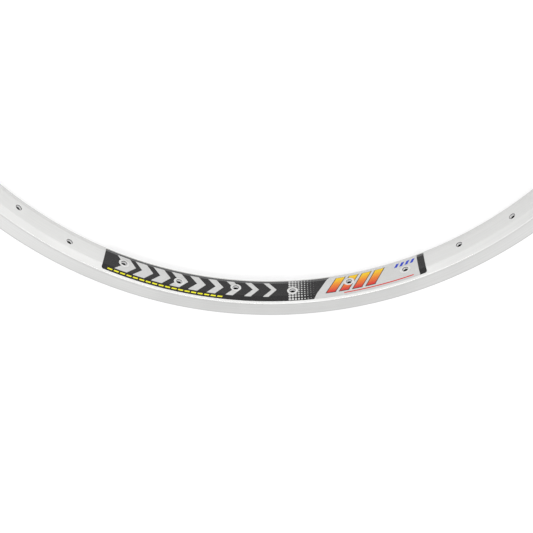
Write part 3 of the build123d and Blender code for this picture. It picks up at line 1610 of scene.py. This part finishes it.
FAR_BAND = SurroundPart(
    gain=1.9,
    ramps=(Ramp(axis=(0.5, 1.0, 0.0), limits=(0.0, 0.7)), Ramp(axis=(0.12, 0.0, 1.0), limits=(0.4, 0.18))),
)
NEAR_SHADE = SurroundPart(
    gain=-0.45,
    ramps=(
        Ramp(axis=(0.0, 1.0, 0.0), limits=(0.0, -0.5)),
        Ramp(axis=UP, limits=(0.72, 0.3)),
        Ramp(axis=UP, limits=(0.02, 0.25)),
    ),
)
OVER_CAMERA = SurroundPart(
    gain=-0.2,
    ramps=(Ramp(axis=(0.8, 1.0, 0.0), limits=(-0.1, 0.45)), Ramp(axis=UP, limits=(0.3, 0.5))),
)
HIGH_SIDES = SurroundPart(
    gain=0.26,
    ramps=(
        Ramp(axis=(1.0, 0.0, 0.0), limits=(0.1, 0.34), both_ways=True),
        Ramp(axis=UP, limits=(0.3, 0.6)),
    ),
)
LEFT_WINDOW = Softbox(
    name="left_window", place=(-1.0, -1.3, 1.6), aim=(-0.2, -0.2, 0.0), size=(0.7, 0.7), power=0.3
)


@dataclass
class Studio:
    """A pale table that glows, a soft light, and a white surround.

    The table glows less under the hub, under the hoop and towards +X. The surround has a bright low band
    behind the hub and bright high sides. It is shaded low on the near side and over the camera.
    """

    floor_z: float
    floor_r: float = 6.0
    floor_rings: int = 8
    floor_sides: int = 64
    floor_colour: float = 0.42
    cloud_shade: float = 0.97  # the darkest clouds in that colour
    cloud_scale: float = 60.0
    cloud_detail: float = 2.0
    floor_roughness: float = 0.9
    floor_shine: float = 0.1
    dim_glow: Colour = grey(0.62)
    full_glow: Colour = grey(0.74)
    glow_rise: Range = (140.0, 235.0)  # in mm from the axle line
    under_hoop: Range = (263.0, 273.0)  # in mm from the axle line, where the glow falls again: a painted shadow under the hoop
    dim_side: Range = (0.05, 0.25)  # in metres towards +X, where it falls as well: painted shade
    overhead: float = 1.03
    surround: tuple[SurroundPart, ...] = (FAR_BAND, NEAR_SHADE, OVER_CAMERA, HIGH_SIDES)
    window: Softbox = LEFT_WINDOW

    def build_floor(self) -> Skin:
        """Works out a round floor, as rings of points about the axle line that widen outward.

        Ring n of N has the radius R (n / N)^2.

        Returns:
            Its faces.
        """
        radius = np.linspace(0.0, 1.0, self.floor_rings + 1)[1:] ** 2 * self.floor_r
        rings = np.column_stack([radius, np.full_like(radius, self.floor_z)])
        points = set_round(rings, np.linspace(0.0, 2 * pi, self.floor_sides + 1)[:, None])
        skin = Skin("pale_floor")
        skin.add_grid(points, np.broadcast_to(UP, points.shape), ONLY_SLOT, facing=Facing.HUBWARD)
        middle = np.broadcast_to([0.0, 0.0, self.floor_z], points[:-1, 0].shape)
        centre = np.stack([middle, points[:-1, 0], points[1:, 0]], axis=1)
        skin.add(centre, np.broadcast_to(UP, centre.shape), ONLY_SLOT)
        return skin

    def floor_material(self, effects: SharedEffects) -> bpy.types.Material:
        """Builds the table's faintly clouded, glowing finish.

        Args:
            effects: the shared node groups.

        Returns:
            The material.
        """
        material, w, shader = new_material("glowing_table")
        position = w.place("Object")
        cloud = w.noise(position, self.cloud_scale, self.cloud_detail)
        shade = grey(self.cloud_shade * self.floor_colour)
        w.feed(shader.inputs["Base Color"], w.mix(cloud, shade, grey(self.floor_colour)))
        shader.inputs["Roughness"].default_value = self.floor_roughness
        shader.inputs["Specular IOR Level"].default_value = self.floor_shine
        from_middle = w.use(effects.hoop_place, Position=position)["Radius"]
        # painted light: the table glows though it is no lamp; its glow is less under the hub, a painted
        # shadow under the hoop and painted shade towards +X
        glow = w.mix(w.step(from_middle, *self.glow_rise), self.dim_glow, self.full_glow)
        painted_side_shade = w.step(w.parts(position)[0], *self.dim_side)
        dim = w.math("MAXIMUM", painted_side_shade, w.step(from_middle, *self.under_hoop))
        w.feed(shader.inputs["Emission Color"], w.mix(dim, glow, self.dim_glow))
        shader.inputs["Emission Strength"].default_value = 1.0
        return material

    def dress_floor(self, skin: Skin, material: bpy.types.Material) -> bpy.types.Object:
        """Makes the floor's object, which isn't part of the rim.

        Args:
            skin: the floor's faces.
            material: its material.

        Returns:
            The object.
        """
        floor = skin.make([material])
        return floor

    def light(self) -> None:
        """Sets the surround and hangs the soft light."""
        world = bpy.data.worlds.new("studio_surround")
        world.use_nodes = True
        w = Wiring(world.node_tree)
        direction = w.place("Generated")
        strength = self.overhead
        for part in self.surround:
            strength = part.added(w, direction, strength)
        background = world.node_tree.nodes["Background"]
        w.feed(background.inputs["Color"], grey(1.0))
        w.feed(background.inputs["Strength"], strength)
        scene = bpy.context.scene
        scene.world = world
        scene.view_settings.view_transform = "Standard"
        self.window.hang()


@dataclass(frozen=True)
class PhotoCamera:
    """The photograph's viewpoint, as the hoop's edges and the spoke holes in it place it."""

    tilt_deg: float = 38.66  # from the axle line, towards the hub side of the film
    yaw_deg: float = -0.47
    roll_deg: float = -0.29
    spin_deg: float = 0.23  # about the axle line, so that the spoke holes fall in place
    distance: float = 717.0 * MM
    target: Triple = (0.8 * MM, -245.5 * MM, 0.0)
    focal_px: float = 881.0
    image_px: float = 533.0
    sensor_mm: float = 36.0

    def axes(self) -> tuple[Array, Array, Array]:
        """Works out how the camera is turned.

        Returns:
            Its right, up and forward directions.
        """
        tilt, yaw, roll = radians(self.tilt_deg), radians(self.yaw_deg), radians(self.roll_deg)
        forward = np.array([sin(yaw) * cos(tilt), -sin(tilt), -cos(yaw) * cos(tilt)])
        right = np.cross(forward, [0.0, 1.0, 0.0])
        right /= np.linalg.norm(right)
        down = np.cross(forward, right)
        return cos(roll) * right + sin(roll) * down, sin(roll) * right - cos(roll) * down, forward

    def place(self) -> bpy.types.Object:
        """Adds the camera and makes it the scene's own.

        Returns:
            The camera.
        """
        right, up, forward = self.axes()
        where = np.array(self.target) - self.distance * forward
        view = np.eye(4)
        view[:3, :4] = np.column_stack([right, up, -forward, where])
        data = bpy.data.cameras.new("photo_camera")
        data.sensor_width = self.sensor_mm
        data.lens = self.focal_px / self.image_px * self.sensor_mm
        camera = bpy.data.objects.new("photo_camera", data)
        camera.matrix_world = Matrix.Rotation(radians(self.spin_deg), 4, "Z") @ Matrix(view.tolist())
        bpy.context.scene.collection.objects.link(camera)
        bpy.context.scene.camera = camera
        return camera


def main() -> None:
    """Builds and dresses the pieces, reports each, and sets the light and the camera."""
    logging.basicConfig(level=logging.INFO, format="%(name)s: %(message)s")
    sizes = RimSizes.from_record(frame["record"])
    effects = SharedEffects(sizes.bed_r)
    metals = [HOOP_FINISHES[slot].material(effects) for slot in HoopSlot]
    hoop = RolledHoop(sizes)
    film = PrintedFilm(hoop)
    studio = Studio(floor_z=cad_box[0].z)
    pieces = (
        hoop.dress(hoop.build(), metals),
        film.dress(film.build(), FilmFinish().material(effects)),
        JointSleeve().dress(metals[HoopSlot.PLAIN]),
        studio.dress_floor(studio.build_floor(), studio.floor_material(effects)),
    )
    for piece in pieces:
        log.info("%s: %d faces", piece.name, len(piece.data.polygons))
    studio.light()
    PhotoCamera().place()


if __name__ == "__main__":
    main()
